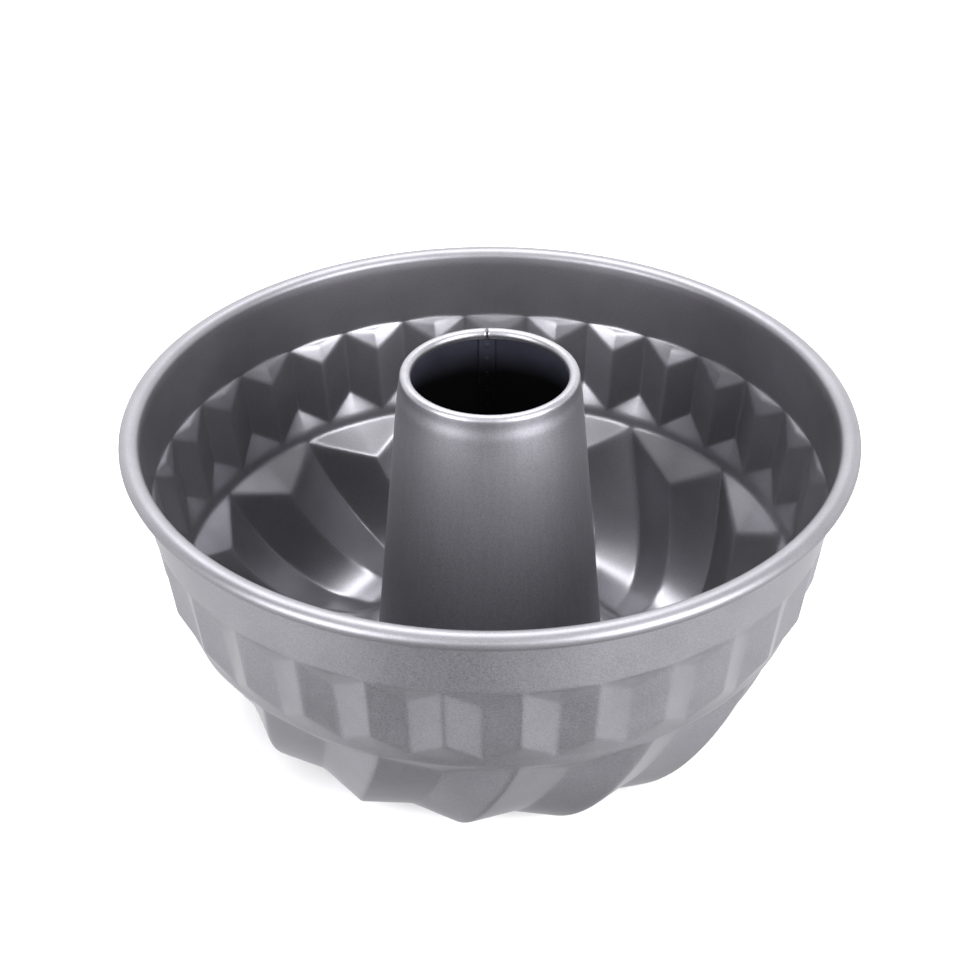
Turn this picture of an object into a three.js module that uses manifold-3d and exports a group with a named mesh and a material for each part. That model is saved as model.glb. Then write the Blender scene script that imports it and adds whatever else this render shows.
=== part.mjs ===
// Kugelhopf mould: a fluted and swirled bowl drawn from one steel sheet, with a rolled centre tube locked in.
// Millimetres, +Z up. It stands on its crown with the mouth up, and the tube's axis is the Z axis.
import * as THREE from 'three';
import { mergeVertices, toCreasedNormals } from 'three/addons/utils/BufferGeometryUtils.js';
import Module from 'manifold-3d';

const wasm = await Module();
wasm.setup();

// Sheet and fits
const sheet = 0.6;
const slipGap = 0.3;
const weldSink = 0.1;

// Curled rim
const rimDiameter = 222;
const rimHeight = 101;
const rimCurlWidth = 6;
const rimCurlHeight = 5;
const rimCurlTurn = 305;
const rimCurlSteps = 9;

// Plain band under the rim
const bandHeight = 21.15;
const bandDraft = 1.8;

// Belt of flutes: ridges stand out, valleys set in, with a shelf over each valley and under each ridge
const flutesPerSwirl = 2;
const fluteDepth = 3.5;
const fluteShelfDrop = 6.7;
const fluteLength = 22.2;
const fluteDraft = 2.8;
const fluteFootDrop = 7.1;
const fluteFootInset = 4;
const fluteArcSteps = 4;

// Plain groove ring between the belt and the swirls
const grooveHeight = 3.3;
const grooveDraft = 0.9;

// Swirls: crests stand out, valleys set in, and both sweep round on their way down to the crown
const swirlCount = 15;
const swirlPhase = 10.9;
const swirlShelfInset = 8.4;
const swirlShelfDrop = 9;
const swirlLean = 16.3;
const crestReach = 21.5;
const crestCrownReach = 18;
const valleyReach = 18.8;
const valleyCrownReach = 11.5;
const swirlTwist = 16;
const valleyLag = 1.9;
const twistEase = 1.28;
const creaseWidth = 2.4;
const shelfArcSteps = 6;
const wallSteps = 8;

// Crown that the mould stands on, and the seat round the tube
const crownRadius = 60;
const restLength = 6;
const restTwist = 2;
const valleyRise = 3.2;
const seatRadius = 45;
const seatHeight = 5;
const seatReach = 6;
const seatTwist = 6;
const seatSteps = 4;

// Centre tube
const tubeHeight = 116;
const tubeTopRadius = 27;
const tubeFootRadius = 37.2;
const tubeCurl = 3.4;
const tubeCurlTurn = 285;
const tubeCurlSteps = 8;
const tubeSides = 48;
const beadBulge = 1.2;
const beadHeight = 2.4;
const beadSteps = 4;
const flangeWidth = 4.8;

// Lapped seam of the tube, on the far side
const seamAngle = 92;
const lapWidth = 5;
const lapSteps = 3;
const curlGap = 1.2;

// Finish of the coated steel
const coating = { color: 0x8b8b8f, roughness: 0.42, metalness: 0.85 };

const radians = THREE.MathUtils.degToRad;
const polar = (radius, angle, height) =>
  new THREE.Vector3(radius * Math.cos(angle), radius * Math.sin(angle), height);

// A closed ring of evenly spaced points
function circle(radius, height, count, phase = 0) {
  const step = (2 * Math.PI) / count;
  return Array.from({ length: count }, (_, i) => polar(radius, phase + i * step, height));
}

// Points on an arc of an ellipse, for a section in radius and height
function arcSection(centre, halfWidth, halfHeight, fromAngle, toAngle, steps) {
  return Array.from({ length: steps + 1 }, (_, i) => {
    const angle = THREE.MathUtils.lerp(fromAngle, toAngle, i / steps);
    return new THREE.Vector2(centre.x + halfWidth * Math.cos(angle), centre.y + halfHeight * Math.sin(angle));
  });
}

// Triangles between two closed rings, each step taking the shorter new edge
function stitch(upper, lower) {
  const triangles = [];
  let i = 0;
  let j = 0;
  while (i < upper.length || j < lower.length) {
    const a = upper[i % upper.length];
    const b = lower[j % lower.length];
    const nextA = upper[(i + 1) % upper.length];
    const nextB = lower[(j + 1) % lower.length];
    const stepUpper = j === lower.length || (i < upper.length && nextA.distanceTo(b) <= nextB.distanceTo(a));
    triangles.push([a, b, stepUpper ? nextA : nextB]);
    if (stepUpper) i += 1;
    else j += 1;
  }
  return triangles;
}

const ringSkin = (rings) => rings.slice(1).flatMap((ring, i) => stitch(rings[i], ring));

// An indexed mesh of the triangles, without those that shrink to a line
function weld(triangles) {
  const loose = new THREE.BufferGeometry().setFromPoints(triangles.flat());
  const merged = mergeVertices(loose, 1e-4);
  const corners = Array.from({ length: merged.index.count / 3 }, (_, i) =>
    [0, 1, 2].map((k) => merged.index.getX(3 * i + k)));
  const faces = corners.filter(([a, b, c]) => a !== b && b !== c && c !== a);
  const points = Array.from({ length: merged.attributes.position.count }, (_, i) =>
    new THREE.Vector3().fromBufferAttribute(merged.attributes.position, i));
  return { points, faces };
}

// The step from a vertex that lands the same depth behind every face round it
function stepBehind(normals, depth) {
  const softness = 1e-3;
  const mean = normals.reduce((sum, n) => sum.add(n), new THREE.Vector3()).normalize();
  const matrix = new THREE.Matrix3().multiplyScalar(softness);
  const target = mean.multiplyScalar(-depth * softness);
  for (const n of normals) {
    const row = [n.x, n.y, n.z];
    matrix.elements.forEach((_, k) => { matrix.elements[k] += row[k % 3] * row[Math.floor(k / 3)]; });
    target.addScaledVector(n, -depth);
  }
  return target.applyMatrix3(matrix.invert());
}

// A closed wall of even thickness behind an open skin
function thicken(triangles, thickness) {
  const { points, faces } = weld(triangles);
  const normals = points.map(() => []);
  const openEdges = new Map();
  for (const face of faces) {
    const [a, b, c] = face.map((k) => points[k]);
    const normal = new THREE.Triangle(a, b, c).getNormal(new THREE.Vector3());
    face.forEach((from, k) => {
      const to = face[(k + 1) % 3];
      normals[from].push(normal);
      if (!openEdges.delete(`${to}-${from}`)) openEdges.set(`${from}-${to}`, [from, to]);
    });
  }
  const count = points.length;
  const back = points.map((p, k) => p.clone().add(stepBehind(normals[k], thickness)));
  const wall = faces.flatMap(([a, b, c]) => [[a, b, c], [c + count, b + count, a + count]]);
  for (const [from, to] of openEdges.values()) {
    wall.push([to, from, from + count], [to, from + count, to + count]);
  }
  const geometry = new THREE.BufferGeometry().setFromPoints([...points, ...back]);
  return geometry.setIndex(wall.flat());
}

// Sections shared by the bowl and the tube
const rimRadius = rimDiameter / 2;
const rimCurlCentre = new THREE.Vector2(rimRadius - rimCurlWidth / 2, rimHeight - rimCurlHeight / 2);
const rimCurlReach = rimCurlWidth / 2 - sheet;
const rimCurlRise = rimCurlHeight / 2 - sheet;
const bandRadius = rimCurlCentre.x - rimCurlReach - bandDraft;
const bandFoot = rimCurlCentre.y - bandHeight;
const holeRadius = tubeFootRadius + slipGap;

const fluteCount = swirlCount * flutesPerSwirl;
const flutePitch = (2 * Math.PI) / fluteCount;
const swirlPitch = (2 * Math.PI) / swirlCount;
const phase = radians(swirlPhase);
const roundCount = fluteCount * fluteArcSteps;

// Rings of the rim and band, from the curl's edge to the band's foot
function rimRings() {
  const edge = radians(180 - rimCurlTurn);
  const section = arcSection(rimCurlCentre, rimCurlReach, rimCurlRise, edge, Math.PI, rimCurlSteps);
  section.push(new THREE.Vector2(bandRadius, bandFoot));
  return section.map((p) => circle(p.x, p.y, roundCount, phase));
}

// Rings of the belt and groove: ridge ends and valley ends by turns, then the plain groove
function beltRings(grooveRadius, grooveTop) {
  const belt = (ridge, valley) => Array.from({ length: fluteCount }, (_, k) => [
    polar(ridge.x, phase + k * flutePitch, ridge.y),
    polar(valley.x, phase + (k + 0.5) * flutePitch, valley.y),
  ]).flat();
  const ridgeTop = new THREE.Vector2(bandRadius, bandFoot);
  const ridgeFoot = new THREE.Vector2(bandRadius - fluteDraft, bandFoot - fluteLength);
  const valleyTop = new THREE.Vector2(bandRadius - fluteDepth, bandFoot - fluteShelfDrop);
  const valleyFoot = new THREE.Vector2(grooveRadius, grooveTop);
  return [
    belt(ridgeTop, valleyTop),
    belt(ridgeFoot, valleyFoot),
    circle(grooveRadius, grooveTop, roundCount, phase),
  ];
}

// One swirl ring: the two edges of each crest, then the two edges of each valley
function swirlRing(crest, crestTurn, valley, valleyTurn) {
  return Array.from({ length: swirlCount }, (_, k) => {
    const angle = phase + k * swirlPitch;
    const crestHalf = creaseWidth / 2 / crest.x;
    const valleyHalf = creaseWidth / 2 / valley.x;
    const crestAngle = angle - crestTurn;
    const valleyAngle = angle + swirlPitch / 2 - valleyTurn;
    return [
      polar(crest.x, crestAngle - crestHalf, crest.y),
      polar(crest.x, crestAngle + crestHalf, crest.y),
      polar(valley.x, valleyAngle - valleyHalf, valley.y),
      polar(valley.x, valleyAngle + valleyHalf, valley.y),
    ];
  }).flat();
}

// The plain ring over the swirls, with points at both edges of each crest
function shelfRing(radius, height) {
  const half = creaseWidth / 2 / radius;
  const arc = (swirlPitch - 2 * half) / shelfArcSteps;
  return Array.from({ length: swirlCount }, (_, k) => {
    const start = phase + k * swirlPitch;
    const onArc = Array.from({ length: shelfArcSteps }, (_, i) =>
      polar(radius, start + half + i * arc, height));
    return [polar(radius, start - half, height), ...onArc];
  }).flat();
}

// Section of a swirl line from its shelf down to the crown
function wallCurve(start, reach, crown, crownReach) {
  const lean = radians(swirlLean);
  const first = new THREE.Vector2(start.x - reach * Math.sin(lean), start.y - reach * Math.cos(lean));
  return new THREE.CubicBezierCurve(start, first, new THREE.Vector2(crown.x + crownReach, crown.y), crown);
}

// Section of a swirl line from the crown in to the seat, where crests and valleys run out
function seatCurve(crown) {
  const seat = new THREE.Vector2(seatRadius, seatHeight);
  const leave = new THREE.Vector2(crown.x - seatReach, crown.y);
  const arrive = new THREE.Vector2(seat.x + seatReach, seat.y);
  return new THREE.CubicBezierCurve(crown, leave, arrive, seat);
}

// Rings of the swirls, crown and seat, down to the edge of the tube's hole
function swirlRings(grooveFoot) {
  const shelfFoot = new THREE.Vector2(grooveFoot.x - swirlShelfInset, grooveFoot.y - swirlShelfDrop);
  const outer = crownRadius + restLength / 2;
  const inner = crownRadius - restLength / 2;
  const crestCrown = new THREE.Vector2(outer, 0);
  const valleyCrown = new THREE.Vector2(outer, valleyRise);
  const crestWall = wallCurve(grooveFoot, crestReach, crestCrown, crestCrownReach);
  const valleyWall = wallCurve(shelfFoot, valleyReach, valleyCrown, valleyCrownReach);
  const crestSeat = seatCurve(new THREE.Vector2(inner, 0));
  const valleySeat = seatCurve(new THREE.Vector2(inner, valleyRise));
  const rings = [];
  for (let i = 0; i <= wallSteps; i += 1) {
    const v = i / wallSteps;
    const ease = v ** twistEase;
    const crestTurn = radians(swirlTwist * ease);
    const valleyTurn = radians(THREE.MathUtils.lerp(valleyLag, swirlTwist, ease));
    rings.push(swirlRing(crestWall.getPointAt(v), crestTurn, valleyWall.getPointAt(v), valleyTurn));
  }
  for (let i = 0; i <= seatSteps; i += 1) {
    const v = i / seatSteps;
    const turn = radians(swirlTwist + restTwist + seatTwist * v);
    rings.push(swirlRing(crestSeat.getPointAt(v), turn, valleySeat.getPointAt(v), turn));
  }
  const lastTurn = radians(swirlTwist + restTwist + seatTwist);
  rings.push(circle(holeRadius, seatHeight, rings[0].length, phase - lastTurn));
  return rings;
}

function bowlGeometry() {
  const grooveTop = new THREE.Vector2(
    bandRadius - fluteDraft - fluteFootInset, bandFoot - fluteLength - fluteFootDrop);
  const grooveFoot = new THREE.Vector2(grooveTop.x - grooveDraft, grooveTop.y - grooveHeight);
  const rings = [
    ...rimRings(),
    ...beltRings(grooveTop.x, grooveTop.y),
    shelfRing(grooveFoot.x, grooveFoot.y),
    ...swirlRings(grooveFoot),
  ];
  return thicken(ringSkin(rings), sheet);
}

// Outside radius of the tube's cone at a height
const tubeCurlCentre = new THREE.Vector2(tubeTopRadius - tubeCurl / 2, tubeHeight - tubeCurl / 2);
const tubeRadius = (height) =>
  THREE.MathUtils.mapLinear(height, seatHeight, tubeCurlCentre.y, tubeFootRadius, tubeTopRadius);
const beadFoot = seatHeight + sheet + slipGap;
const beadTop = beadFoot + beadHeight;

// Wall of the tube: inward curl, cone, bead over the seat and flange under it
function tubeWall() {
  const curlRadius = tubeCurl / 2;
  const edge = radians(tubeCurlTurn);
  const section = arcSection(tubeCurlCentre, curlRadius, curlRadius, edge, 0, tubeCurlSteps);
  for (let i = 0; i <= beadSteps; i += 1) {
    const height = THREE.MathUtils.lerp(beadTop, beadFoot, i / beadSteps);
    const bulge = beadBulge * Math.sin((Math.PI * i) / beadSteps);
    section.push(new THREE.Vector2(tubeRadius(height) + bulge, height));
  }
  section.push(new THREE.Vector2(tubeFootRadius, seatHeight));
  section.push(new THREE.Vector2(tubeFootRadius + flangeWidth, seatHeight));
  const rings = section.map((p) => circle(p.x, p.y, tubeSides));
  return thicken(ringSkin(rings), sheet);
}

// The inner lap of the seam, from under the curl to over the bead
function seamLap() {
  const heights = [tubeHeight - tubeCurl - slipGap, beadTop + slipGap];
  const columns = heights.map((height) => {
    const radius = tubeRadius(height) - sheet + weldSink;
    const half = lapWidth / 2 / radius;
    return Array.from({ length: lapSteps + 1 }, (_, i) =>
      polar(radius, radians(seamAngle) + half * ((2 * i) / lapSteps - 1), height));
  });
  const [upper, lower] = columns;
  const skin = upper.slice(1).flatMap((next, i) => [
    [upper[i], lower[i], lower[i + 1]],
    [upper[i], lower[i + 1], next],
  ]);
  return thicken(skin, sheet + weldSink);
}

// The gap where the curl's two ends meet over the seam
function curlNotch() {
  const depth = tubeCurl + 2 * sheet;
  const box = new THREE.BoxGeometry(depth, curlGap, tubeCurl);
  box.translate(tubeCurlCentre.x, 0, tubeHeight);
  box.rotateZ(radians(seamAngle));
  box.deleteAttribute('normal');
  box.deleteAttribute('uv');
  return mergeVertices(box);
}

function solidOf(geometry) {
  return new wasm.Manifold(new wasm.Mesh({
    numProp: 3,
    vertProperties: new Float32Array(geometry.attributes.position.array),
    triVerts: new Uint32Array(geometry.index.array),
  }));
}

function tubeGeometry() {
  const solid = solidOf(tubeWall()).add(solidOf(seamLap())).subtract(solidOf(curlNotch()));
  const { vertProperties, triVerts } = solid.getMesh();
  const geometry = new THREE.BufferGeometry();
  geometry.setAttribute('position', new THREE.BufferAttribute(vertProperties, 3));
  return geometry.setIndex(new THREE.BufferAttribute(triVerts, 1));
}

// The two pieces, shaded with crisp creases
const creaseAngle = radians(25);
function piece(name, geometry) {
  const material = new THREE.MeshStandardMaterial(coating);
  const mesh = new THREE.Mesh(toCreasedNormals(geometry, creaseAngle), material);
  mesh.name = name;
  return mesh;
}

const mould = new THREE.Group();
mould.add(piece('bowl_shell', bowlGeometry()));
mould.add(piece('centre_tube', tubeGeometry()));

export default mould;
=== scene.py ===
"""Dresses a kugelhopf mould: its drawn bowl, its rolled centre tube, and a white studio round them."""
import math

import bmesh
import bpy
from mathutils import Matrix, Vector
from mathutils.geometry import interpolate_bezier


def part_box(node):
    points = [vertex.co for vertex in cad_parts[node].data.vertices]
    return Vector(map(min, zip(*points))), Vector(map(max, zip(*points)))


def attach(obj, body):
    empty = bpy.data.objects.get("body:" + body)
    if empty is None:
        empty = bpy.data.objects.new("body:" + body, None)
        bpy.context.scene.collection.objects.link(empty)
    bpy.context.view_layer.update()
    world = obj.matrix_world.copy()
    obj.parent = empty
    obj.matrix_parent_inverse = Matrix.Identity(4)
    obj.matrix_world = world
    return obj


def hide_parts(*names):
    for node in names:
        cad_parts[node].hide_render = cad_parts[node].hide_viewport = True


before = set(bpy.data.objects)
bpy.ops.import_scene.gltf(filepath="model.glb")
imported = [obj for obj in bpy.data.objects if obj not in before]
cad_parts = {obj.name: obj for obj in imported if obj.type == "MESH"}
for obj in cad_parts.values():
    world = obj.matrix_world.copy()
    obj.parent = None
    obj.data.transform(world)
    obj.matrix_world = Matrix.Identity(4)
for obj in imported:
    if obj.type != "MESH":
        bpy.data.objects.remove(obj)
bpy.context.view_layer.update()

bl_info = {
    "name": "Kugelhopf Mould",
    "version": (1, 0, 0),
    "blender": (4, 5, 0),
    "location": "View3D > Sidebar > Mould",
    "description": "Makes the fluted bowl, the seamed centre tube and the white studio of a kugelhopf mould",
    "category": "Add Mesh",
}

MM = 0.001
PHOTO_PIXELS = 980
SENSOR_MM = 36
BOWL_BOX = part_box("bowl_shell")
TUBE_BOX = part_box("centre_tube")

# How finely the bowl is cut.
CURL_STEPS = 18
COLUMNS_PER_HALF_FLUTE = 10
BEND_STEPS = 4
STRAIGHT_STEPS = (4, 1, 2, 5, 2, 2, 3, 1)
WALL_STEPS = 26
REST_STEPS = 3
SEAT_STEPS = 9
WALL_CURVE_POINTS = 200
SEAT_CURVE_POINTS = 100
# At 0 the columns are spaced evenly, and at 1 they crowd fully towards the folds.
CROWDING = 0.72
# The least drop between two corners of a column.
LEAST_DROP = 0.6 * MM

# The largest share of a straight that the bend at its end may take.
BEND_SHARE = 0.45

# How finely the tube is cut.
TUBE_COLUMNS = 180
TUBE_CURL_STEPS = 20
TUBE_WALL_STEPS = 110
BEAD_STEPS = 10
FLANGE_STEPS = 3
LAP_COLUMNS = 20
LAP_ROWS = 260

# Real flake and orange peel are finer than this: they are drawn as coarse as the picture can show.
FLAKE_MM = 0.45
PEEL_PITCH_MM = 0.7
PEEL_DEPTH_MM = 0.08
MOTTLE_MM = 16
STREAK_MM = 1.4
# Squeezing the height draws the streaks out along the tube.
STREAK_SQUEEZE = (1, 1, 0.03)
# Most of a noise lies between these.
NOISE_LOW = 0.3
NOISE_HIGH = 0.7
# How far a pattern makes a colour lighter and darker, as a share of it.
FLAKE_TINT = 0.1
MOTTLE_TINT = 0.05
STREAK_TINT = 0.03
TUBE_FLAKE_TINT = 0.08
LINING_FLAKE_TINT = 0.07
LINING_MOTTLE_TINT = 0.06
OXIDE_MOTTLE_TINT = 0.3
# How far a pattern takes the roughness to each side.
FLAKE_ROUGHNESS = 0.05
OXIDE_MOTTLE_ROUGHNESS = 0.05
# The strength of the orange peel, and the mean looks of the oxide and the table.
PEEL_STRENGTH = 0.2
OXIDE_ROUGHNESS = 0.6
OXIDE_SPECULAR = 0.1
TABLE_ROUGHNESS = 0.9

# The table and the softboxes, in metres.
TABLE_SIZE = 8
NEAR_TOP_SIZE = (1.2, 0.85)
NEAR_TOP_PLACE = Vector((0.1, -0.325, 0.8))
FAR_TOP_SIZE = (0.8, 0.5)
FAR_TOP_PLACE = Vector((-0.1, 0.35, 0.8))
STANDING_DISTANCE = 1.1
LEFT_SIZE = (0.63, 0.92)
RIGHT_SIZE = (0.84, 0.92)
SIDE_HEIGHT = 0.485
FRONT_SIZE = (1.03, 0.44)
FRONT_HEIGHT = 0.595
# Where the parts of the room that the metal sees end, on a sphere of radius 1.
SHADOW_EDGE = 0.16
SIDE_WALL_TOP = 0.35
BACKDROP_FADE_START = 0.5
BACKDROP_FADE_END = 0.95
BACKDROP_SIDE_START = -0.1
BACKDROP_SIDE_END = 0.5
TABLE_EDGE = 0.06


def linear(hex_colour):
    """The linear colour of an sRGB hex value such as "8a898e"."""
    channels = [int(hex_colour[i:i + 2], 16) / 255 for i in (0, 2, 4)]
    return [c / 12.92 if c <= 0.04045 else ((c + 0.055) / 1.055) ** 2.4 for c in channels]


def length(name, description, default):
    """A size property, given in metres."""
    return bpy.props.FloatProperty(name=name, description=description, default=default, unit="LENGTH")


def turn(name, description, degrees):
    """An angle property, given in degrees."""
    return bpy.props.FloatProperty(
        name=name, description=description, default=math.radians(degrees), subtype="ANGLE")


def colour(name, description, hex_colour):
    """A colour property, given as an sRGB hex value."""
    return bpy.props.FloatVectorProperty(
        name=name, description=description, default=linear(hex_colour), subtype="COLOR", min=0, max=1)


def factor(name, description, default):
    """A plain number between 0 and 1."""
    return bpy.props.FloatProperty(
        name=name, description=description, default=default, subtype="FACTOR", min=0, max=1)


def power(name, description, watts):
    """A lamp's power, given in watts."""
    return bpy.props.FloatProperty(name=name, description=description, default=watts, unit="POWER", min=0)


def strength(name, description, default):
    """How strongly something glows, where 1 is white."""
    return bpy.props.FloatProperty(name=name, description=description, default=default, min=0)


class MouldBowlSizes(bpy.types.PropertyGroup):
    """Sizes of the drawn bowl, from its curled rim down to the hole for the tube."""

    sheet: length("Sheet", "Thickness of the steel", 0.6 * MM)
    rim_radius: length("Rim radius", "Outside radius of the curled rim", BOWL_BOX[1].x)
    rim_height: length("Rim height", "Top of the curled rim above the table", BOWL_BOX[1].z)
    rim_curl_width: length("Rim curl width", "Outside width of the curled rim", 6 * MM)
    rim_curl_height: length("Rim curl height", "Outside height of the curled rim", 5 * MM)
    rim_curl_turn: turn("Rim curl turn", "How far the edge is rolled round", 305)
    band_height: length("Band height", "Plain band, from the curl's centre to the flutes", 21.15 * MM)
    band_draft: length("Band draft", "Radius lost over the band", 1.8 * MM)
    flute_depth: length("Flute depth", "How far a flute's valley sets in under the band", 3.5 * MM)
    flute_shelf_drop: length("Flute shelf drop", "Height of the shelf over a valley", 6.7 * MM)
    flute_tuck: length("Flute tuck", "How sharply the shelf over a valley starts inwards", 1.4 * MM)
    flute_length: length("Flute length", "Height of a flute's ridge", 22.2 * MM)
    flute_draft: length("Flute draft", "Radius lost over a ridge", 2.8 * MM)
    flute_foot_drop: length("Flute foot drop", "Height of the shelf under a ridge", 7.1 * MM)
    flute_foot_inset: length("Flute foot inset", "Depth of the shelf under a ridge", 4 * MM)
    groove_height: length("Groove height", "Plain ring between flutes and swirls", 3.3 * MM)
    groove_draft: length("Groove draft", "Radius lost over the plain ring", 0.9 * MM)
    swirl_count: bpy.props.IntProperty(name="Swirls", description="Swirls round the crown", default=15, min=3)
    swirl_phase: turn("Swirl phase", "Angle of the first swirl's crest from +X", 10.9)
    swirl_shelf_inset: length("Swirl shelf inset", "Depth of the shelf over a swirl's valley", 8.4 * MM)
    swirl_shelf_drop: length("Swirl shelf drop", "Height of the shelf over a swirl's valley", 9 * MM)
    swirl_lean: turn("Swirl lean", "Lean of the wall where the swirls start", 16.3)
    crest_reach: length("Crest reach", "How long a crest keeps the wall's lean", 21.5 * MM)
    crest_crown_reach: length("Crest crown reach", "How early a crest turns level", 18 * MM)
    valley_reach: length("Valley reach", "How long a valley keeps the wall's lean", 18.8 * MM)
    valley_crown_reach: length("Valley crown reach", "How early a valley turns level", 11.5 * MM)
    swirl_twist: turn("Swirl twist", "How far a swirl sweeps round on the wall", 16)
    valley_lag: turn("Valley lag", "How far a valley's head leans round", 1.9)
    twist_ease: bpy.props.FloatProperty(
        name="Twist ease", description="Over 1, the swirls sweep faster low down", default=1.28, min=1)
    crown_radius: length("Crown radius", "Circle on which the mould stands", 60 * MM)
    rest_length: length("Rest length", "Length of the resting flat on each crest", 6 * MM)
    rest_twist: turn("Rest twist", "Sweep over the resting flat", 2)
    valley_rise: length("Valley rise", "Height of the valleys over the crown", 3.2 * MM)
    seat_radius: length("Seat radius", "Where the swirls run out round the tube", 45 * MM)
    seat_height: length("Seat height", "Underside of the seat above the table", 5 * MM)
    seat_reach: length("Seat reach", "How gently the swirls rise to the seat", 6 * MM)
    seat_twist: turn("Seat twist", "Sweep from the crown to the seat", 6)
    hole_radius: length("Hole radius", "Hole that takes the tube's foot", 37.5 * MM)
    fillet: length("Fillet", "How far a bend across the wall reaches to each side", 1.1 * MM)
    flute_fold: length("Flute fold", "How far a flute's fold is rounded to each side", 0.9 * MM)
    swirl_fold: length("Swirl fold", "How far a swirl's fold is rounded to each side", 1.3 * MM)


class MouldTubeSizes(bpy.types.PropertyGroup):
    """Sizes of the rolled tube and its lapped seam."""

    height: length("Tube height", "Top of the tube above the table", TUBE_BOX[1].z)
    top_radius: length("Top radius", "Outside radius under the curled top", 27 * MM)
    foot_radius: length("Foot radius", "Outside radius at the bowl's seat", 37.2 * MM)
    curl: length("Top curl", "Outside diameter of the inward curl", 3.4 * MM)
    curl_turn: turn("Top curl turn", "How far the top edge is rolled in", 285)
    neck_depth: length("Neck depth", "How far the neck under the curl is drawn in", 0.32 * MM)
    neck_drop: length("Neck drop", "From the curl's centre to the middle of the neck's shoulder", 3.8 * MM)
    neck_height: length("Neck height", "Height of the neck's shoulder", 4.6 * MM)
    bead_bulge: length("Bead bulge", "How far the locking bead stands out", 1.2 * MM)
    bead_height: length("Bead height", "Height of the locking bead", 2.4 * MM)
    seat_gap: length("Seat gap", "Play between the bead and the seat", 0.3 * MM)
    flange_radius: length("Flange radius", "Outside radius of the flange under the seat", TUBE_BOX[1].x)
    seam_angle: turn("Seam angle", "Where the lapped seam runs", 92)
    lap_width: length("Lap width", "Overlap of the seam", 5 * MM)
    curl_gap: length("Curl gap", "Gap between the ends of the curl", 0.4 * MM)
    weld_pitch: length("Weld pitch", "Spacing of the spot welds", 5.4 * MM)
    weld_size: length("Weld size", "Width of a spot weld", 2 * MM)
    weld_rise: length("Weld rise", "How far a spot weld stands out", 0.5 * MM)


class MouldFinish(bpy.types.PropertyGroup):
    """Look of the coatings on the steel."""

    lacquer: colour("Lacquer", "Grey of the sprayed lacquer", "8c8b91")
    lacquer_roughness: factor("Lacquer roughness", "Mean roughness of the lacquer on the bowl", 0.42)
    # Painted sheen: the curl keeps the full lacquer tone, and the tube below it takes this share of it.
    tube_tone: factor("Tube tone", "Tone of the tube below its curl, beside that of the lacquer", 0.75)
    tube_roughness: factor("Tube roughness", "Roughness of the lacquer on the tube below its curl", 0.6)
    # Over this height under the curl, both the burnish's smoothness and a painted sheen fade out.
    burnish_and_sheen_fade: length("Burnish fade", "Height over which the curl's burnish fades out under it", 14 * MM)
    lacquer_metallic: factor("Lacquer metallic", "Share of metal flake in the lacquer", 0.95)
    lining: colour("Lining", "Grey of the smooth non-stick lining", "7b7a7f")
    lining_roughness: factor("Lining roughness", "Roughness of the lining inside the bowl", 0.32)
    rim_roughness: factor("Rim roughness", "Roughness of the lining where the rim's curl stretches it", 0.44)
    lining_metallic: factor("Lining metallic", "Share of metal flake in the lining", 0.88)
    bore: colour("Bore", "Blue-black oxide inside the tube's mouth", "3c3c4a")
    # Painted shade: over this depth below the mouth the bore's oxide colour darkens to black.
    bore_shade_depth: length("Bore fade", "Depth at which the oxide in the tube is black", 17 * MM)


class MouldStudio(bpy.types.PropertyGroup):
    """Camera and light of the studio."""

    view_height: turn("View height", "Elevation of the camera", 33.85)
    view_distance: length("View distance", "From the camera to what it aims at", 658.2 * MM)
    aim_side: length("Aim side", "What the camera aims at, to the right of the axis", 0.05 * MM)
    aim_height: length("Aim height", "What the camera aims at, above the table", 73.3 * MM)
    focal_pixels: bpy.props.FloatProperty(
        name="Focal length", description="Focal length in pixels of the photograph",
        default=2136, subtype="PIXEL")
    table_colour: colour("Table", "Matt white light table under the mould", "f4f4f4")
    near_top_power: power("Near top softbox", "Power of the softbox overhead, towards the camera", 4.8)
    far_top_power: power("Far top softbox", "Power of the softbox overhead, towards the backdrop", 10)
    left_power: power("Left softbox", "Power of the softbox in front on the left", 19.5)
    left_turn: turn("Left turn", "How far the left softbox stands to the right of the camera", -46)
    right_power: power("Right softbox", "Power of the softbox in front on the right", 29)
    right_turn: turn("Right turn", "How far the right softbox stands to the right of the camera", 48)
    front_power: power("Front softbox", "Power of the dim softbox behind the camera", 3)
    front_turn: turn("Front turn", "How far the dim softbox stands to the right of the camera", -1)
    backdrop_light: strength("Backdrop light", "Strength of the white backdrop that the metal sees", 2.4)
    side_light: strength("Side light", "Strength of the side walls at the table's level", 0.6)
    room_light: strength("Room light", "Strength of the dim room over the walls", 0.4)
    table_light: strength("Table light", "Strength of the lit table that the metal sees", 1.14)
    shadow_light: strength("Shadow light", "Strength of the table in the mould's shadow", 0.4)
    shadow_turn: turn("Shadow turn", "How far the shadow falls to the right of the camera", -15)
    fill_light: strength("Fill light", "Strength of the soft light from all round", 0.13)
    table_glow: strength("Table glow", "How strongly the table glows far from the mould", 1)
    glow_start: length("Glow start", "Distance from the axis where the table starts to glow", 50 * MM)
    glow_end: length("Glow end", "Distance from the axis where the table glows fully", 400 * MM)


def polar(radius, angle, height):
    """A point at a radius and an angle round the tube's axis."""
    return Vector((radius * math.cos(angle), radius * math.sin(angle), height))


def rounded_fold(t, width):
    """Goes from a fold at 0 to a fold at 1, rounded over a width at both ends."""
    if t < width:
        return (t * t + width * width) / (2 * width)
    if t > 1 - width:
        return 1 - rounded_fold(1 - t, width)
    return t


def across(ridge, valley, t, width):
    """A point on the flat between a ridge and a valley, whose folds are rounded."""
    flat = ridge.lerp(valley, t)
    folded = ridge.lerp(valley, rounded_fold(t, width))
    return polar(folded.xy.length, math.atan2(flat.y, flat.x), folded.z)


def eased(share):
    """Goes from 0 to 1 with a level start and end, and stays there."""
    held = min(max(share, 0), 1)
    return held * held * (3 - 2 * held)


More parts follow.
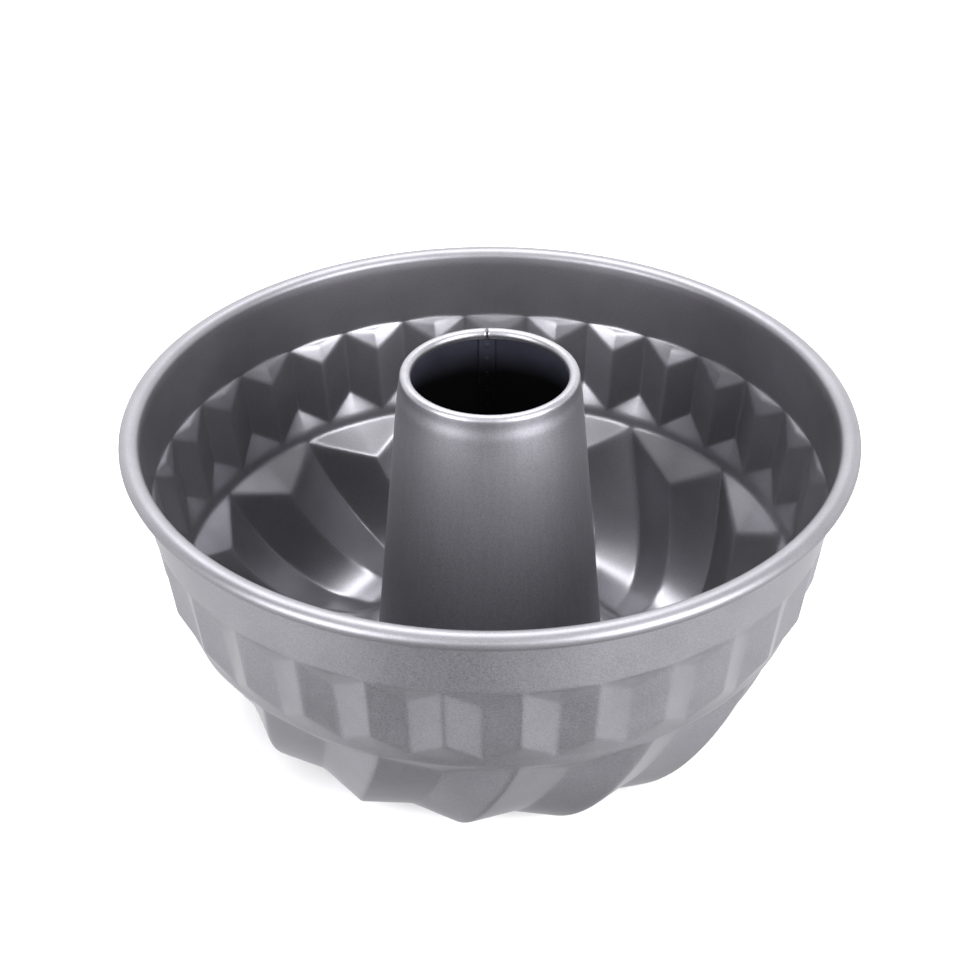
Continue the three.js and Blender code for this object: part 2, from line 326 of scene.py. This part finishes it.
def spaced(points, count):
    """Evenly spaced points along a polyline."""
    reach = [0.0]
    for a, b in zip(points, points[1:]):
        reach.append(reach[-1] + (b - a).length)
    spots = []
    k = 0
    for i in range(count + 1):
        want = reach[-1] * i / count
        while k < len(points) - 2 and reach[k + 1] < want:
            k += 1
        share = (want - reach[k]) / (reach[k + 1] - reach[k])
        spots.append(points[k].lerp(points[k + 1], share))
    return spots


def rounded_line(corners, fillet, steps, bend_steps):
    """Points along a polyline whose inner corners are rounded; steps gives the pieces of each straight."""
    spots = [corners[0]]
    for i in range(1, len(corners) - 1):
        corner = corners[i]
        before = corners[i - 1] - corner
        after = corners[i + 1] - corner
        enter = corner + before.normalized() * min(fillet, before.length * BEND_SHARE)
        leave = corner + after.normalized() * min(fillet, after.length * BEND_SHARE)
        start = spots[-1]
        spots += [start.lerp(enter, k / steps[i - 1]) for k in range(1, steps[i - 1] + 1)]
        for k in range(1, bend_steps + 1):
            v = k / bend_steps
            spots.append(enter.lerp(corner, v).lerp(corner.lerp(leave, v), v))
    start = spots[-1]
    spots += [start.lerp(corners[-1], k / steps[-1]) for k in range(1, steps[-1] + 1)]
    return spots


def arc_section(centre, half, start, end, steps):
    """Points of a section, as radius and height, on an arc of an oval with half a width and half a height."""
    angles = [start + (end - start) * i / steps for i in range(steps + 1)]
    return [centre + Vector((half.x * math.cos(a), half.y * math.sin(a))) for a in angles]


def skin_mesh(columns, gaps=()):
    """A form through closed columns of points; gaps lists the column and row pairs left open."""
    form = bmesh.new()
    rows = [[form.verts.new(p) for p in column] for column in columns]
    for j, column in enumerate(rows):
        following = rows[(j + 1) % len(rows)]
        for i in range(len(column) - 1):
            if (j, i) not in gaps:
                form.faces.new((column[i], column[i + 1], following[i + 1], following[i]))
    return form


def finished_object(name, form, sheet, outside, inside):
    """An object of the form as one sheet of steel, shaded smooth, with its thickness behind the skin."""
    mesh = bpy.data.meshes.new(name)
    form.to_mesh(mesh)
    form.free()
    mesh.materials.append(outside)
    mesh.materials.append(inside)
    mesh.shade_smooth()
    piece = bpy.data.objects.new(name, mesh)
    bpy.context.scene.collection.objects.link(piece)
    solidify = piece.modifiers.new("sheet thickness", "SOLIDIFY")
    solidify.thickness = sheet
    solidify.offset = -1
    solidify.use_even_offset = True
    solidify.use_quality_normals = True
    solidify.material_offset = 1
    return piece


class BowlForm:
    """Works out the bowl's outside, column by column, from its sizes."""

    def __init__(self, sizes):
        self.sizes = sizes
        s = sizes
        self.flute_pitch = math.pi / s.swirl_count
        self.swirl_pitch = 2 * self.flute_pitch
        curl = Vector((s.rim_curl_width, s.rim_curl_height)) / 2
        self.curl_centre = Vector((s.rim_radius, s.rim_height)) - curl
        self.curl_inside = curl - Vector((s.sheet, s.sheet))
        self.band_foot = self.curl_centre - Vector((self.curl_inside.x + s.band_draft, s.band_height))
        self.ridge_foot = self.band_foot - Vector((s.flute_draft, s.flute_length))
        self.valley_top = self.band_foot - Vector((s.flute_depth, s.flute_shelf_drop))
        self.groove_top = self.ridge_foot - Vector((s.flute_foot_inset, s.flute_foot_drop))
        self.groove_foot = self.groove_top - Vector((s.groove_draft, s.groove_height))
        self.shelf_foot = self.groove_foot - Vector((s.swirl_shelf_inset, s.swirl_shelf_drop))
        self.crest = self.swirl_section(self.groove_foot, s.crest_reach, 0, s.crest_crown_reach)
        self.valley = self.swirl_section(self.shelf_foot, s.valley_reach, s.valley_rise, s.valley_crown_reach)
        self.crest_turns = self.swirl_turns(0)
        self.valley_turns = self.swirl_turns(s.valley_lag)

    def swirl_section(self, start, reach, rise, crown_reach):
        """Radius and height down a crest or valley: wall, resting flat, and the rise to the seat."""
        s = self.sizes
        outer = Vector((s.crown_radius + s.rest_length / 2, rise))
        inner = Vector((s.crown_radius - s.rest_length / 2, rise))
        seat = Vector((s.seat_radius, s.seat_height))
        lean = Vector((-math.sin(s.swirl_lean), -math.cos(s.swirl_lean))) * reach
        level = Vector((s.seat_reach, 0))
        into_crown = outer + Vector((crown_reach, 0))
        wall = interpolate_bezier(start, start + lean, into_crown, outer, WALL_CURVE_POINTS)
        rise_to_seat = interpolate_bezier(inner, inner - level, seat + level, seat, SEAT_CURVE_POINTS)
        rest = [outer.lerp(inner, i / REST_STEPS) for i in range(1, REST_STEPS)]
        return spaced(wall, WALL_STEPS) + rest + spaced(rise_to_seat, SEAT_STEPS)

    def swirl_turns(self, lag):
        """How far a crest or valley has swept round at each point of its section."""
        s = self.sizes
        wall = [lag + (s.swirl_twist - lag) * (i / WALL_STEPS) ** s.twist_ease for i in range(WALL_STEPS + 1)]
        rest = [s.swirl_twist + s.rest_twist * i / REST_STEPS for i in range(1, REST_STEPS)]
        crown = s.swirl_twist + s.rest_twist
        return wall + rest + [crown + s.seat_twist * i / SEAT_STEPS for i in range(SEAT_STEPS + 1)]

    def column(self, half, share):
        """Points down the outside at a share of the way across half a flute."""
        s = self.sizes
        angle = s.swirl_phase + (half + share) * self.flute_pitch / 2
        spots = [polar(p.x, angle, p.y) for p in arc_section(
            self.curl_centre, self.curl_inside, math.pi - s.rim_curl_turn, math.pi, CURL_STEPS)]
        ridge_angle = s.swirl_phase + (half + 1) // 2 * self.flute_pitch
        valley_angle = s.swirl_phase + (half // 2 + 0.5) * self.flute_pitch
        t = share if half % 2 == 0 else 1 - share
        tuck = s.flute_tuck * t

        def on_belt(ridge, valley):
            """A point of this column between a flute's ridge and its valley."""
            fold = s.flute_fold / (self.band_foot.x * self.flute_pitch / 2)
            return across(
                polar(ridge.x, ridge_angle, ridge.y),
                polar(valley.x, valley_angle, valley.y), t, fold)

        quarter = half % 4
        swirl_t = (quarter + share) / 2 if quarter < 2 else 2 - (quarter + share) / 2
        crest_angle = s.swirl_phase + (half + 2) // 4 * self.swirl_pitch
        swirl_valley_angle = s.swirl_phase + (half // 4 + 0.5) * self.swirl_pitch

        def on_swirl(i):
            """A point of this column between a swirl's crest and its valley."""
            crest = self.crest[i]
            valley = self.valley[i]
            fold = s.swirl_fold / (crest.x * self.swirl_pitch / 2)
            return across(
                polar(crest.x, crest_angle - self.crest_turns[i], crest.y),
                polar(valley.x, swirl_valley_angle - self.valley_turns[i], valley.y), swirl_t, fold)

        lower = Vector((0, 0, LEAST_DROP))
        corners = [
            spots[-1],
            polar(self.band_foot.x, angle, self.band_foot.y),
            polar(self.band_foot.x - tuck, angle, self.band_foot.y - tuck - LEAST_DROP / 2),
            on_belt(self.band_foot, self.valley_top) - lower,
            on_belt(self.ridge_foot, self.groove_top) + lower,
            polar(self.groove_top.x, angle, self.groove_top.y),
            polar(self.groove_foot.x, angle, self.groove_foot.y),
            on_swirl(0) - lower,
            on_swirl(1),
        ]
        spots += rounded_line(corners, s.fillet, STRAIGHT_STEPS, BEND_STEPS)[1:]
        spots += [on_swirl(i) for i in range(2, len(self.crest))]
        hole_angle = math.atan2(spots[-1].y, spots[-1].x)
        spots.append(polar(s.hole_radius, hole_angle, s.seat_height))
        return spots

    def columns(self):
        """All the columns, crowded towards the folds."""
        shares = [i / COLUMNS_PER_HALF_FLUTE for i in range(COLUMNS_PER_HALF_FLUTE)]
        crowded = [x - CROWDING * math.sin(2 * math.pi * x) / (2 * math.pi) for x in shares]
        return [self.column(half, x) for half in range(4 * self.sizes.swirl_count) for x in crowded]


class TubeForm:
    """Works out the tube's outside and the inner lap of its seam from its sizes."""

    def __init__(self, sizes, bowl):
        self.sizes = sizes
        self.sheet = bowl.sheet
        self.seat_height = bowl.seat_height
        self.curl_centre = Vector((sizes.top_radius - sizes.curl / 2, sizes.height - sizes.curl / 2))
        self.bead_foot = bowl.seat_height + bowl.sheet + sizes.seat_gap
        self.bead_top = self.bead_foot + sizes.bead_height

    def radius(self, height):
        """Outside radius of the cone at a height, drawn in above the shoulder of its neck."""
        s = self.sizes
        share = (height - self.seat_height) / (self.curl_centre.y - self.seat_height)
        cone = s.foot_radius + (s.top_radius + s.neck_depth - s.foot_radius) * share
        over = (height - self.curl_centre.y + s.neck_drop) / s.neck_height + 0.5
        return cone - s.neck_depth * eased(over)

    def section(self):
        """Radius and height from the curl's edge, over the top, down the cone and out along the flange."""
        s = self.sizes
        half = Vector((s.curl, s.curl)) / 2
        spots = arc_section(self.curl_centre, half, s.curl_turn, 0, TUBE_CURL_STEPS)
        fall = spots[-1].y - self.bead_top
        heights = [spots[-1].y - fall * i / TUBE_WALL_STEPS for i in range(1, TUBE_WALL_STEPS + 1)]
        spots += [Vector((self.radius(h), h)) for h in heights]
        for i in range(1, BEAD_STEPS + 1):
            height = self.bead_top - s.bead_height * i / BEAD_STEPS
            bulge = s.bead_bulge * math.sin(math.pi * i / BEAD_STEPS)
            spots.append(Vector((self.radius(height) + bulge, height)))
        foot = Vector((s.foot_radius, self.seat_height))
        flange = Vector((s.flange_radius, self.seat_height))
        return spots + [foot.lerp(flange, i / FLANGE_STEPS) for i in range(FLANGE_STEPS + 1)]

    def skin(self):
        """The outside of the tube, with the curl left open at the seam."""
        s = self.sizes
        section = self.section()
        half_gap = s.curl_gap / 2 / s.top_radius
        step = (2 * math.pi - 2 * half_gap) / TUBE_COLUMNS
        first = s.seam_angle + half_gap
        columns = [[polar(p.x, first + j * step, p.y) for p in section] for j in range(TUBE_COLUMNS + 1)]
        gaps = {(TUBE_COLUMNS, i) for i in range(TUBE_CURL_STEPS)}
        return skin_mesh(columns, gaps)

    def add_lap(self, form):
        """Adds the inner lap of the seam, with its row of spot welds, to a form."""
        s = self.sizes
        top = s.height - s.curl - s.seat_gap
        foot = self.bead_top + s.seat_gap
        grid = []
        for i in range(LAP_ROWS + 1):
            height = top - (top - foot) * i / LAP_ROWS
            nearest = round((top - height) / s.weld_pitch - 0.5) + 0.5
            away = (top - height) - nearest * s.weld_pitch
            row = []
            for j in range(LAP_COLUMNS + 1):
                side = s.lap_width * (j / LAP_COLUMNS - 0.5)
                out = math.hypot(away, side) / (s.weld_size / 2)
                radius = self.radius(height) - self.sheet - s.weld_rise * eased(1 - out)
                row.append(form.verts.new(polar(radius, s.seam_angle + side / radius, height)))
            grid.append(row)
        for upper, lower in zip(grid, grid[1:]):
            for j in range(LAP_COLUMNS):
                form.faces.new((upper[j], lower[j], lower[j + 1], upper[j + 1]))


def add_node(tree, kind, inputs=None, output=None, **settings):
    """Adds a shader node with its settings, and gives the node or one of its outputs.

    Each input takes a value or the socket it is linked to.
    """
    node = tree.nodes.new(kind)
    for name, value in settings.items():
        setattr(node, name, value)
    for name, value in (inputs or {}).items():
        if isinstance(value, bpy.types.NodeSocket):
            tree.links.new(value, node.inputs[name])
        else:
            node.inputs[name].default_value = value
    return node.outputs[output] if output else node


def new_material(name):
    """An empty node material and its tree."""
    material = bpy.data.materials.new(name)
    material.use_nodes = True
    material.node_tree.nodes.clear()
    return material, material.node_tree


def solid(rgb):
    """A colour with full alpha."""
    return (*rgb, 1)


def lumps(size_mm):
    """How many lumps of a size go into a metre, which is what the scale of a noise counts."""
    return 1 / (size_mm * MM)


def around(middle, reach):
    """Ranges that take a noise to both sides of a middle."""
    return {"From Min": NOISE_LOW, "From Max": NOISE_HIGH, "To Min": middle - reach, "To Max": middle + reach}


def sprayed_lacquer(finish):
    """Lacquer sprayed on drawn steel and baked: satin, with a faint orange peel and a glint of flake."""
    material, tree = new_material("sprayed metallic lacquer on drawn steel")
    place = add_node(tree, "ShaderNodeTexCoord", output="Object")
    flake = add_node(tree, "ShaderNodeTexNoise", {
        "Vector": place, "Scale": lumps(FLAKE_MM), "Detail": 0}, "Fac")
    mottle = add_node(tree, "ShaderNodeTexNoise", {
        "Vector": place, "Scale": lumps(MOTTLE_MM), "Detail": 3}, "Fac")
    peel = add_node(tree, "ShaderNodeTexNoise", {
        "Vector": place, "Scale": lumps(PEEL_PITCH_MM), "Detail": 1.5}, "Fac")
    flake_tint = add_node(tree, "ShaderNodeMapRange", {"Value": flake, **around(1, FLAKE_TINT)}, "Result")
    mottle_tint = add_node(tree, "ShaderNodeMapRange", {"Value": mottle, **around(1, MOTTLE_TINT)}, "Result")
    roughness = add_node(tree, "ShaderNodeMapRange", {
        "Value": flake, **around(finish.lacquer_roughness, FLAKE_ROUGHNESS)}, "Result")
    flaked = add_node(tree, "ShaderNodeVectorMath", {
        0: finish.lacquer, 1: flake_tint}, "Vector", operation="MULTIPLY")
    mottled = add_node(tree, "ShaderNodeVectorMath", {
        0: flaked, 1: mottle_tint}, "Vector", operation="MULTIPLY")
    bumps = add_node(tree, "ShaderNodeBump", {
        "Height": peel, "Strength": PEEL_STRENGTH, "Distance": PEEL_DEPTH_MM * MM}, "Normal")
    coat = add_node(tree, "ShaderNodeBsdfPrincipled", {
        "Base Color": mottled,
        "Metallic": finish.lacquer_metallic,
        "Roughness": roughness,
        "Normal": bumps,
    }, "BSDF")
    add_node(tree, "ShaderNodeOutputMaterial", {"Surface": coat})
    return material


def rolled_lacquer(finish, curl_foot):
    """Lacquer rolled on flat sheet before it is bent: matt, faintly streaked, burnished smoother on the curl,
    with a painted sheen that keeps the curl and the band under it lighter than the rest of the tube.
    """
    material, tree = new_material("rolled metallic lacquer on bent steel")
    place = add_node(tree, "ShaderNodeTexCoord", output="Object")
    squeezed = add_node(tree, "ShaderNodeVectorMath", {
        0: place, 1: STREAK_SQUEEZE}, "Vector", operation="MULTIPLY")
    streak = add_node(tree, "ShaderNodeTexNoise", {
        "Vector": squeezed, "Scale": lumps(STREAK_MM), "Detail": 2}, "Fac")
    flake = add_node(tree, "ShaderNodeTexNoise", {
        "Vector": place, "Scale": lumps(FLAKE_MM), "Detail": 0}, "Fac")
    height = add_node(tree, "ShaderNodeSeparateXYZ", {0: place}, "Z")
    to_curl = {"Value": height, "From Min": curl_foot - finish.burnish_and_sheen_fade, "From Max": curl_foot}
    # Painted sheen: the tone rises from the tube's darker tone to the full lacquer at the curl, so that the
    # curl and the band under it look lit.
    painted_sheen_tint = add_node(tree, "ShaderNodeMapRange", {**to_curl, "To Min": finish.tube_tone}, "Result")
    roughness = add_node(tree, "ShaderNodeMapRange", {
        **to_curl, "To Min": finish.tube_roughness, "To Max": finish.lacquer_roughness}, "Result")
    streak_tint = add_node(tree, "ShaderNodeMapRange", {"Value": streak, **around(1, STREAK_TINT)}, "Result")
    flake_tint = add_node(tree, "ShaderNodeMapRange", {
        "Value": flake, **around(1, TUBE_FLAKE_TINT)}, "Result")
    tone = finish.lacquer
    for tint in (painted_sheen_tint, streak_tint, flake_tint):
        tone = add_node(tree, "ShaderNodeVectorMath", {0: tone, 1: tint}, "Vector", operation="MULTIPLY")
    coat = add_node(tree, "ShaderNodeBsdfPrincipled", {
        "Base Color": tone, "Metallic": finish.lacquer_metallic, "Roughness": roughness}, "BSDF")
    add_node(tree, "ShaderNodeOutputMaterial", {"Surface": coat})
    return material


def smooth_lining(finish, curl_foot, curl_middle):
    """Non-stick lining rolled on before drawing: soft mirror images, matter where the rim stretches it."""
    material, tree = new_material("rolled non-stick lining on drawn steel")
    place = add_node(tree, "ShaderNodeTexCoord", output="Object")
    flake = add_node(tree, "ShaderNodeTexNoise", {
        "Vector": place, "Scale": lumps(FLAKE_MM), "Detail": 1}, "Fac")
    mottle = add_node(tree, "ShaderNodeTexNoise", {
        "Vector": place, "Scale": lumps(MOTTLE_MM), "Detail": 3}, "Fac")
    height = add_node(tree, "ShaderNodeSeparateXYZ", {0: place}, "Z")
    roughness = add_node(tree, "ShaderNodeMapRange", {
        "Value": height,
        "From Min": curl_foot,
        "From Max": curl_middle,
        "To Min": finish.lining_roughness,
        "To Max": finish.rim_roughness,
    }, "Result")
    flake_tint = add_node(tree, "ShaderNodeMapRange", {
        "Value": flake, **around(1, LINING_FLAKE_TINT)}, "Result")
    mottle_tint = add_node(tree, "ShaderNodeMapRange", {
        "Value": mottle, **around(1, LINING_MOTTLE_TINT)}, "Result")
    flaked = add_node(tree, "ShaderNodeVectorMath", {
        0: finish.lining, 1: flake_tint}, "Vector", operation="MULTIPLY")
    mottled = add_node(tree, "ShaderNodeVectorMath", {
        0: flaked, 1: mottle_tint}, "Vector", operation="MULTIPLY")
    coat = add_node(tree, "ShaderNodeBsdfPrincipled", {
        "Base Color": mottled, "Metallic": finish.lining_metallic, "Roughness": roughness}, "BSDF")
    add_node(tree, "ShaderNodeOutputMaterial", {"Surface": coat})
    return material


def oxide_and_painted_shade(finish, mouth):
    """Oxide baked on bare steel: matt blue-black at the mouth, with painted shade that darkens it to black
    lower down the bore.
    """
    material, tree = new_material("baked oxide on uncoated steel")
    place = add_node(tree, "ShaderNodeTexCoord", output="Object")
    mottle = add_node(tree, "ShaderNodeTexNoise", {
        "Vector": place, "Scale": lumps(MOTTLE_MM), "Detail": 4}, "Fac")
    height = add_node(tree, "ShaderNodeSeparateXYZ", {0: place}, "Z")
    # Painted shade: the colour falls to black over the bore's depth below the mouth, where little light
    # reaches.
    painted_depth_shade = add_node(tree, "ShaderNodeMapRange", {
        "Value": height, "From Min": mouth - finish.bore_shade_depth, "From Max": mouth}, "Result")
    mottle_tint = add_node(tree, "ShaderNodeMapRange", {
        "Value": mottle, **around(1, OXIDE_MOTTLE_TINT)}, "Result")
    roughness = add_node(tree, "ShaderNodeMapRange", {
        "Value": mottle, **around(OXIDE_ROUGHNESS, OXIDE_MOTTLE_ROUGHNESS)}, "Result")
    faded = add_node(tree, "ShaderNodeVectorMath", {0: finish.bore, 1: painted_depth_shade}, "Vector", operation="MULTIPLY")
    mottled = add_node(tree, "ShaderNodeVectorMath", {
        0: faded, 1: mottle_tint}, "Vector", operation="MULTIPLY")
    oxide = add_node(tree, "ShaderNodeBsdfPrincipled", {
        "Base Color": mottled, "Specular IOR Level": OXIDE_SPECULAR, "Roughness": roughness}, "BSDF")
    add_node(tree, "ShaderNodeOutputMaterial", {"Surface": oxide})
    return material


class MOULD_OT_bowl(bpy.types.Operator):
    """Make the drawn bowl with its curled rim, flutes and swirls"""

    bl_idname = "mould.bowl"
    bl_label = "Drawn Bowl"

    def execute(self, context):
        sizes = context.scene.mould_bowl
        finish = context.scene.mould_finish
        form = skin_mesh(BowlForm(sizes).columns())
        curl_middle = sizes.rim_height - sizes.rim_curl_height / 2
        lining = smooth_lining(finish, sizes.rim_height - sizes.rim_curl_height, curl_middle)
        bowl = finished_object("bowl", form, sizes.sheet, sprayed_lacquer(finish), lining)
        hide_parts("bowl_shell")
        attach(bowl, "root")
        return {"FINISHED"}


class MOULD_OT_tube(bpy.types.Operator):
    """Make the rolled centre tube with its curled top and lapped seam"""

    bl_idname = "mould.tube"
    bl_label = "Centre Tube"

    def execute(self, context):
        bowl_sizes = context.scene.mould_bowl
        finish = context.scene.mould_finish
        tube_sizes = context.scene.mould_tube
        tube = TubeForm(tube_sizes, bowl_sizes)
        form = tube.skin()
        tube.add_lap(form)
        bore = oxide_and_painted_shade(finish, tube_sizes.height)
        lacquer = rolled_lacquer(finish, tube_sizes.height - tube_sizes.curl)
        piece = finished_object("tube", form, bowl_sizes.sheet, lacquer, bore)
        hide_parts("centre_tube")
        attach(piece, "root")
        return {"FINISHED"}


def light_table(studio):
    """Matt white acrylic, lit from under away from the mould, so that it keeps the mould's soft shadow."""
    material, tree = new_material("matt white acrylic light table")
    path = add_node(tree, "ShaderNodeLightPath")
    place = add_node(tree, "ShaderNodeTexCoord").outputs["Object"]
    away = add_node(tree, "ShaderNodeVectorMath", {0: place}, operation="LENGTH")
    far = add_node(tree, "ShaderNodeMapRange", {
        "Value": away.outputs["Value"],
        "From Min": studio.glow_start,
        "From Max": studio.glow_end,
        "To Max": studio.table_glow,
    })
    glow = add_node(tree, "ShaderNodeMath", {
        0: path.outputs["Is Camera Ray"], 1: far.outputs["Result"]}, operation="MULTIPLY")
    acrylic = add_node(tree, "ShaderNodeBsdfPrincipled", {
        "Base Color": solid(studio.table_colour),
        "Roughness": TABLE_ROUGHNESS,
        "Emission Color": (1, 1, 1, 1),
        "Emission Strength": glow.outputs["Value"],
    })
    add_node(tree, "ShaderNodeOutputMaterial", {"Surface": acrylic.outputs["BSDF"]})
    return material


def white_studio(studio):
    """The room: white to the camera.

    The metal sees a table in the mould's shadow towards the camera, a lit backdrop and dim side walls.
    """
    world = bpy.data.worlds.new("white studio")
    world.use_nodes = True
    tree = world.node_tree
    tree.nodes.clear()
    path = add_node(tree, "ShaderNodeLightPath")
    direction = add_node(tree, "ShaderNodeTexCoord").outputs["Generated"]
    axes = add_node(tree, "ShaderNodeSeparateXYZ", {0: direction})
    level = add_node(tree, "ShaderNodeVectorMath", {0: direction, 1: (1, 1, 0)}, operation="MULTIPLY")
    flatness = add_node(tree, "ShaderNodeVectorMath", {0: level.outputs["Vector"]}, operation="LENGTH")
    shadow = polar(1, studio.shadow_turn - math.pi / 2, 0)
    along = add_node(tree, "ShaderNodeVectorMath", {0: direction, 1: shadow}, operation="DOT_PRODUCT")
    away = add_node(tree, "ShaderNodeMath", {
        0: flatness.outputs["Value"], 1: along.outputs["Value"]}, operation="SUBTRACT")
    clear = add_node(tree, "ShaderNodeMapRange", {
        "Value": away.outputs["Value"], "From Max": SHADOW_EDGE}, interpolation_type="SMOOTHSTEP")
    lit = add_node(tree, "ShaderNodeMath", {
        0: clear.outputs["Result"], 1: flatness.outputs["Value"]}, operation="MULTIPLY")
    table = add_node(tree, "ShaderNodeMath", {
        0: lit.outputs["Value"], 1: studio.table_light, 2: studio.shadow_light}, operation="MULTIPLY_ADD")
    sides = add_node(tree, "ShaderNodeMapRange", {
        "Value": axes.outputs["Z"],
        "From Max": SIDE_WALL_TOP,
        "To Min": studio.side_light,
        "To Max": studio.room_light,
    })
    backdrop = add_node(tree, "ShaderNodeMapRange", {
        "Value": axes.outputs["Z"],
        "From Min": BACKDROP_FADE_START,
        "From Max": BACKDROP_FADE_END,
        "To Min": studio.backdrop_light,
        "To Max": studio.room_light,
    })
    behind = add_node(tree, "ShaderNodeMapRange", {
        "Value": axes.outputs["Y"],
        "From Min": BACKDROP_SIDE_START,
        "From Max": BACKDROP_SIDE_END,
    }, interpolation_type="SMOOTHSTEP")
    walls = add_node(tree, "ShaderNodeMix", {
        "Factor": behind.outputs["Result"], "A": sides.outputs["Result"], "B": backdrop.outputs["Result"]})
    over = add_node(tree, "ShaderNodeMapRange", {
        "Value": axes.outputs["Z"],
        "From Min": -TABLE_EDGE,
        "From Max": TABLE_EDGE,
    }, interpolation_type="SMOOTHSTEP")
    surround = add_node(tree, "ShaderNodeMix", {
        "Factor": over.outputs["Result"], "A": table.outputs["Value"], "B": walls.outputs["Result"]})
    mirrored = add_node(tree, "ShaderNodeMix", {
        "Factor": path.outputs["Is Glossy Ray"], "A": studio.fill_light, "B": surround.outputs["Result"]})
    seen = add_node(tree, "ShaderNodeMix", {
        "Factor": path.outputs["Is Camera Ray"], "A": mirrored.outputs["Result"], "B": 1.0})
    background = add_node(tree, "ShaderNodeBackground", {
        "Color": (1, 1, 1, 1), "Strength": seen.outputs["Result"]})
    add_node(tree, "ShaderNodeOutputWorld", {"Surface": background.outputs["Background"]})
    return world


def add_softbox(scene, name, size, place, target, watts):
    """A rectangular softbox at a place, facing a point."""
    light = bpy.data.lights.new(name, "AREA")
    light.shape = "RECTANGLE"
    light.size, light.size_y = size
    light.energy = watts
    lamp = bpy.data.objects.new(name, light)
    lamp.location = place
    aim(lamp, target)
    scene.collection.objects.link(lamp)


def aim(thing, target):
    """Turns a lamp or camera towards a point."""
    thing.rotation_euler = (target - thing.location).to_track_quat("-Z", "Y").to_euler()


class MOULD_OT_studio(bpy.types.Operator):
    """Make the white table, the softboxes and the camera"""

    bl_idname = "mould.studio"
    bl_label = "White Studio"

    def execute(self, context):
        scene = context.scene
        studio = scene.mould_studio
        scene.view_settings.view_transform = "Standard"
        scene.world = white_studio(studio)

        bpy.ops.mesh.primitive_plane_add(size=TABLE_SIZE)
        table = context.object
        table.name = "light_table"
        table.data.materials.append(light_table(studio))
        table.visible_glossy = False

        for name, size, place, watts in (
                ("near top softbox", NEAR_TOP_SIZE, NEAR_TOP_PLACE, studio.near_top_power),
                ("far top softbox", FAR_TOP_SIZE, FAR_TOP_PLACE, studio.far_top_power)):
            add_softbox(scene, name, size, place, Vector((place.x, place.y, 0)), watts)
        for name, size, height, turned, watts in (
                ("left softbox", LEFT_SIZE, SIDE_HEIGHT, studio.left_turn, studio.left_power),
                ("right softbox", RIGHT_SIZE, SIDE_HEIGHT, studio.right_turn, studio.right_power),
                ("front softbox", FRONT_SIZE, FRONT_HEIGHT, studio.front_turn, studio.front_power)):
            place = polar(STANDING_DISTANCE, turned - math.pi / 2, height)
            add_softbox(scene, name, size, place, Vector((0, 0, height)), watts)

        lens = bpy.data.cameras.new("camera")
        lens.sensor_width = SENSOR_MM
        lens.lens = lens.sensor_width * studio.focal_pixels / PHOTO_PIXELS
        camera = bpy.data.objects.new("camera", lens)
        target = Vector((studio.aim_side, 0, studio.aim_height))
        back = Vector((0, -math.cos(studio.view_height), math.sin(studio.view_height)))
        camera.location = target + back * studio.view_distance
        aim(camera, target)
        scene.collection.objects.link(camera)
        scene.camera = camera
        return {"FINISHED"}


class MOULD_PT_panel(bpy.types.Panel):
    """Lists what makes the mould"""

    bl_idname = "MOULD_PT_panel"
    bl_label = "Kugelhopf Mould"
    bl_space_type = "VIEW_3D"
    bl_region_type = "UI"
    bl_category = "Mould"

    def draw(self, context):
        for operator in OPERATORS:
            self.layout.operator(operator.bl_idname)


OPERATORS = (MOULD_OT_bowl, MOULD_OT_tube, MOULD_OT_studio)
GROUPS = {
    "mould_bowl": MouldBowlSizes,
    "mould_tube": MouldTubeSizes,
    "mould_finish": MouldFinish,
    "mould_studio": MouldStudio,
}


def register():
    """Adds the classes and the groups of properties to Blender."""
    for group in GROUPS.values():
        bpy.utils.register_class(group)
    for name, group in GROUPS.items():
        setattr(bpy.types.Scene, name, bpy.props.PointerProperty(type=group))
    for made in (*OPERATORS, MOULD_PT_panel):
        bpy.utils.register_class(made)


def unregister():
    """Takes the classes and the groups of properties out of Blender."""
    for made in reversed((*OPERATORS, MOULD_PT_panel)):
        bpy.utils.unregister_class(made)
    for name in GROUPS:
        delattr(bpy.types.Scene, name)
    for group in reversed(GROUPS.values()):
        bpy.utils.unregister_class(group)


def main():
    """Makes the mould and its studio."""
    register()
    bpy.ops.mould.bowl()
    bpy.ops.mould.tube()
    bpy.ops.mould.studio()


if __name__ == "__main__":
    main()
